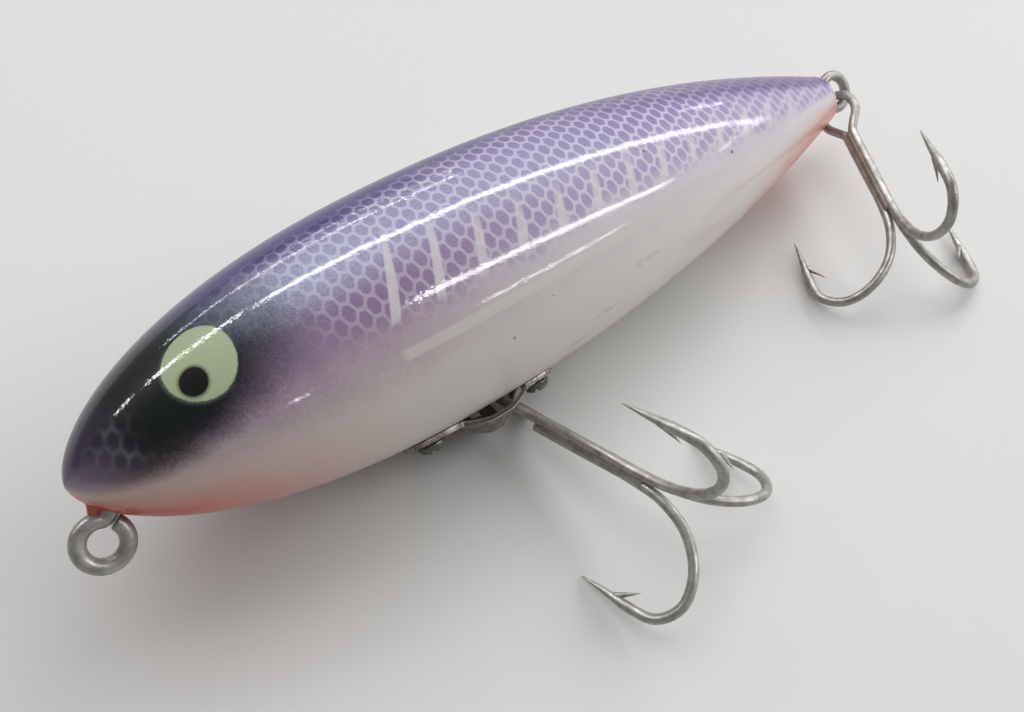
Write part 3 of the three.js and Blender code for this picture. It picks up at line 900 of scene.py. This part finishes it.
def add_eye_loop(form, size):
    """The eye: one wire bent back on itself, whose ends lie beside the third wire. From the shank to the eye
    it turns from the third wire's side to the way that the eye hangs."""
    end, half = size["end"], size["half"]
    side = [(LOOP_JOIN + LOOP_TAIL["along"], LOOP_TAIL["share"] * WIRE_OFFSET), (LOOP_JOIN, WIRE_OFFSET)]
    side += [(LOOP_JOIN + along, share * half) for along, share in LOOP_FROM_JOIN]
    side += [(end + along, share * half) for along, share in LOOP_FROM_END]
    third = size["third_wire"] * 120
    at_shank = math.radians((third + 90) % 180 - 90)
    at_eye = math.radians(size["loop_turn"])
    if at_eye - at_shank > math.pi / 2:
        at_shank += math.pi
    third = math.radians(third)
    shank_back = Vector((0, math.sin(third), -math.cos(third))) * WIRE_OFFSET / 2
    eye_back = Vector((0, 0, -WIRE_OFFSET / 2))

    def at(along, out):
        share = min(1, max(0, (LOOP_JOIN - along) / TWIST_OVER))
        turn = at_shank + (at_eye - at_shank) * share
        middle = shank_back.lerp(eye_back, share)
        return middle + Vector((along, out * math.cos(turn), out * math.sin(turn)))

    points = [at(a, o) for a, o in side] + [at(end, 0)] + [at(a, -o) for a, o in reversed(side)]
    line = through(points, HOOK_MESH["loop"], HOOK_MESH["smoothing"])
    add_tube(form, line, HOOK_WIRE / 2, HOOK_MESH["sides"])


def treble_hook(node, material, braze):
    size = HOOKS[node]
    form = Form()
    add_eye_loop(form, size)
    for i in range(3):
        start = BRAZED_FROM if i == size["third_wire"] else LOOP_JOIN + WIRE_OFFSET
        add_prong(form, start, i * 2 * math.pi / 3)
    core = [Vector((x, 0, 0)) for x in np.linspace(LOOP_JOIN, BEND[0][0] + BRAZED_PAST, HOOK_MESH["braze"])]
    add_tube(form, core, BRAZE_RADIUS, HOOK_MESH["sides"], look=1)
    name = node.replace("_treble_hook", "_hook_wires")
    piece(name, node, form, hook_place(size), [material, braze])


# Stage: floor, lights and camera

def pale_floor():
    f = Finish("pale_floor")
    f.set(Base_Color=colour(219, 219, 218), Roughness=0.6)
    mesh = bpy.data.meshes.new("floor")
    corners = [(x * FLOOR_HALF, y * FLOOR_HALF, 0) for x, y in ((-1, -1), (1, -1), (1, 1), (-1, 1))]
    mesh.from_pydata(corners, [], [(0, 1, 2, 3)])
    mesh.materials.append(f.material)
    floor = new_object("floor", mesh)


def area_light(name, at, width, height, power):
    data = bpy.data.lights.new(name, "AREA")
    data.shape = "RECTANGLE"
    data.size, data.size_y = width, height
    data.energy = power
    light = new_object(name, data)
    light.location = at
    return light


def tube_light(name, start, end):
    """A long thin ceiling light, which the gloss coat shows as a line."""
    start, end = Vector((*start, TUBE["height"])), Vector((*end, TUBE["height"]))
    length = (end - start).length
    power = TUBE["radiance"] * math.pi * length * TUBE["width"]
    light = area_light(name, (start + end) / 2, length, TUBE["width"], power)
    light.rotation_euler = (0, 0, math.atan2(end.y - start.y, end.x - start.x))
    light.visible_diffuse = False


def soft_light(name, at, width, height, power):
    """A large light that faces the lure."""
    light = area_light(name, at, width, height, power)
    light.rotation_euler = Vector(at).to_track_quat("Z", "Y").to_euler()
    light.visible_glossy = False


def studio():
    world = bpy.data.worlds.new("studio")
    world.use_nodes = True
    world.node_tree.nodes["Background"].inputs["Color"].default_value = WORLD_TONE
    world.node_tree.nodes["Background"].inputs["Strength"].default_value = WORLD_STRENGTH
    bpy.context.scene.world = world
    for name, (start, end) in TUBES.items():
        tube_light(name, start, end)
    for name, light in SOFT_LIGHTS.items():
        soft_light(name, **light)
    bpy.context.scene.view_settings.view_transform = "Standard"


def photo_camera():
    data = bpy.data.cameras.new("camera")
    data.sensor_width = SENSOR_WIDTH
    data.lens = FOCAL_PIXELS / IMAGE_WIDTH * SENSOR_WIDTH
    data.clip_start = NEAREST_SEEN
    camera = new_object("camera", data)
    nose = LURE @ Vector((0, 0, 0))
    camera.location = (nose + Vector(CAMERA_FROM_NOSE)) * MM
    camera.rotation_euler = (math.radians(CAMERA_TILT), 0, math.radians(CAMERA_HEADING))
    bpy.context.scene.camera = camera


wire_finish = dull_metal("tinned_wire", colour(176, 175, 171), colour(146, 143, 138))
sheet_finish = dull_metal("hanger_sheet", colour(140, 130, 123), colour(102, 93, 85))
screw_finish = dull_metal("screw_steel", colour(116, 120, 114), colour(72, 74, 70))
braze_finish = dull_metal("brazing", colour(154, 152, 142), colour(128, 124, 114))

painted_body()
lean = math.radians(NOSE_EYE["lean"])
screw_eye("line_tie", "nose_screw_eye", NOSE_EYE, on_lure(NOSE_EYE["x"], NOSE_EYE["drop"], 0),
          Vector((math.sin(lean), 0, math.cos(lean))), wire_finish)
screw_eye("tail_eye", "tail_screw_eye", TAIL_EYE, on_lure(BODY_LENGTH + TAIL_EYE["reach"], 0, 0),
          Vector((-1, 0, 0)), wire_finish)
hanger_sheet(sheet_finish, cut_edge())
for screw_node in SCREWS:
    hanger_screw(screw_node, screw_finish)
for hook_node in HOOKS:
    treble_hook(hook_node, wire_finish, braze_finish)

pale_floor()
studio()
photo_camera()
